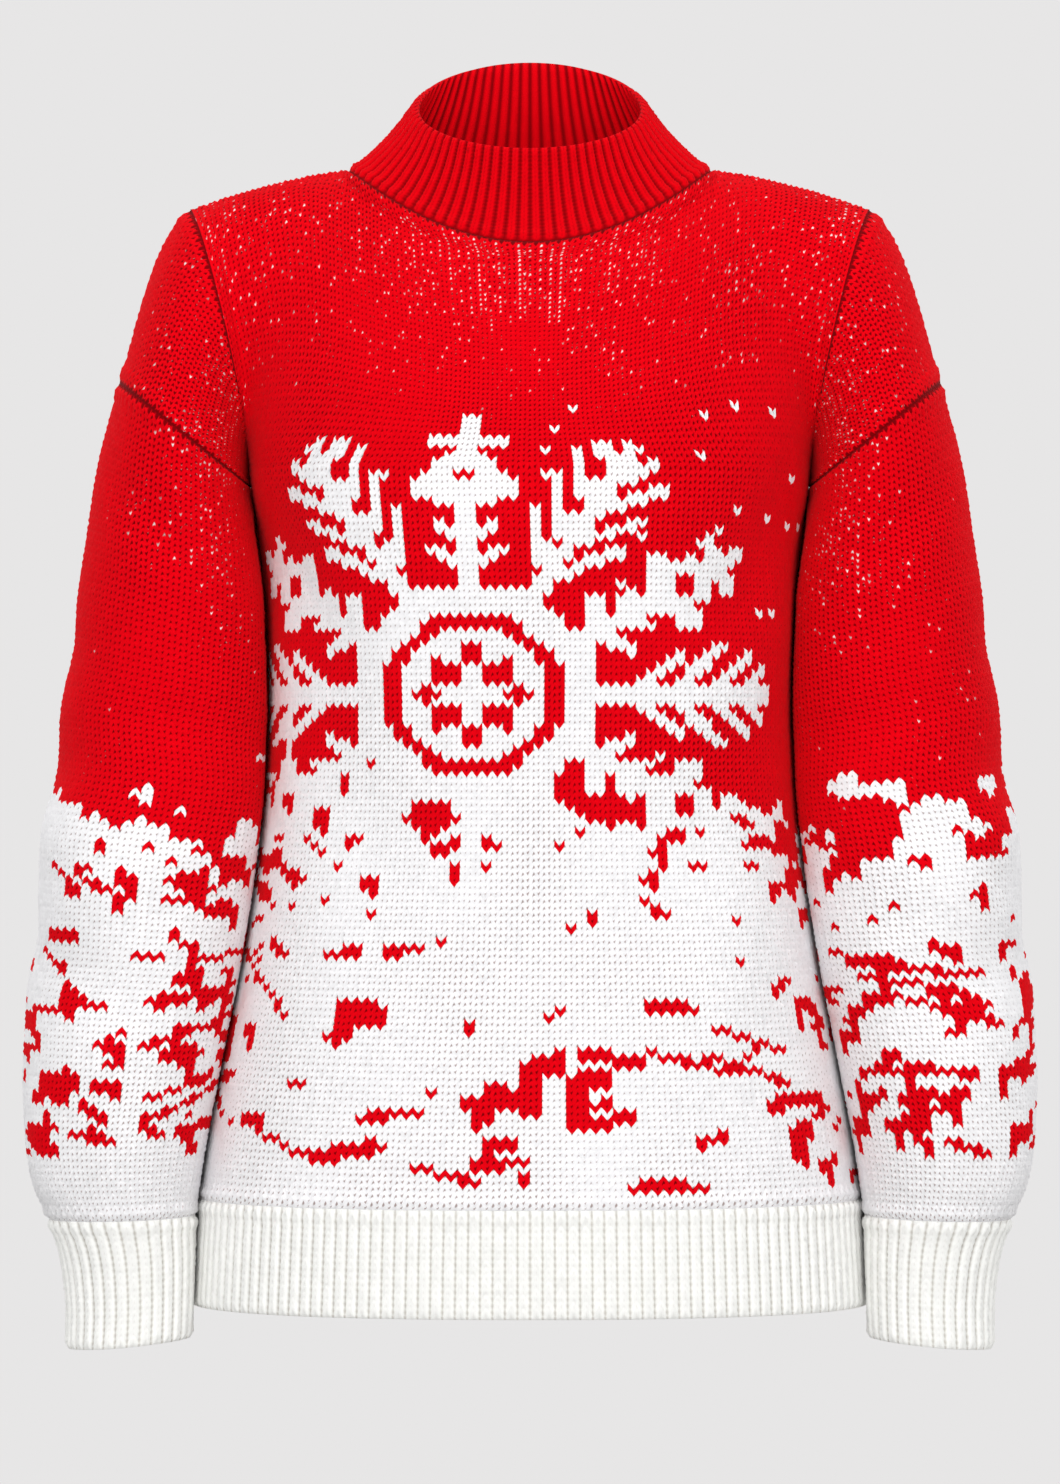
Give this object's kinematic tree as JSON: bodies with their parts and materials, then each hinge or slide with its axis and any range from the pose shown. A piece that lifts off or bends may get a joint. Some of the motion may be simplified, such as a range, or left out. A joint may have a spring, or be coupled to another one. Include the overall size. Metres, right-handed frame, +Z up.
{
  "type": "christmas sweater",
  "caption": "Bulky knitted christmas pullover in its worn hollow form, with a funnel collar, dropped shoulders, full sleeves, tight ribbed cuffs and a ribbed hem.",
  "frame": {"origin": "middle of the neck opening, level with the inner ends of the shoulder seams, where the shoulders of the wearer hold the sweater up", "axes": "+Z up, +X towards the garment's own left sleeve, and the front faces -Y"},
  "size_m": [0.544, 0.2334, 0.6975],
  "materials": {
    "jacquard_knit": "stocking stitch jacquard in red and white wool blend, soft and matt",
    "red_knit": "red stocking stitch with a white yarn carried behind, soft and matt",
    "red_rib": "red ribbed knit, soft and matt",
    "white_rib": "white ribbed knit, soft and matt"
  },
  "bodies": {
    "root": {"front": "jacquard_knit", "back": "jacquard_knit", "collar": "red_rib", "hem_front": "white_rib", "hem_back": "white_rib", "cap_left": "red_knit", "sleeve_left": "jacquard_knit", "cuff_left": "white_rib", "cap_right": "red_knit", "sleeve_right": "jacquard_knit", "cuff_right": "white_rib"}
  },
  "joints": []
}
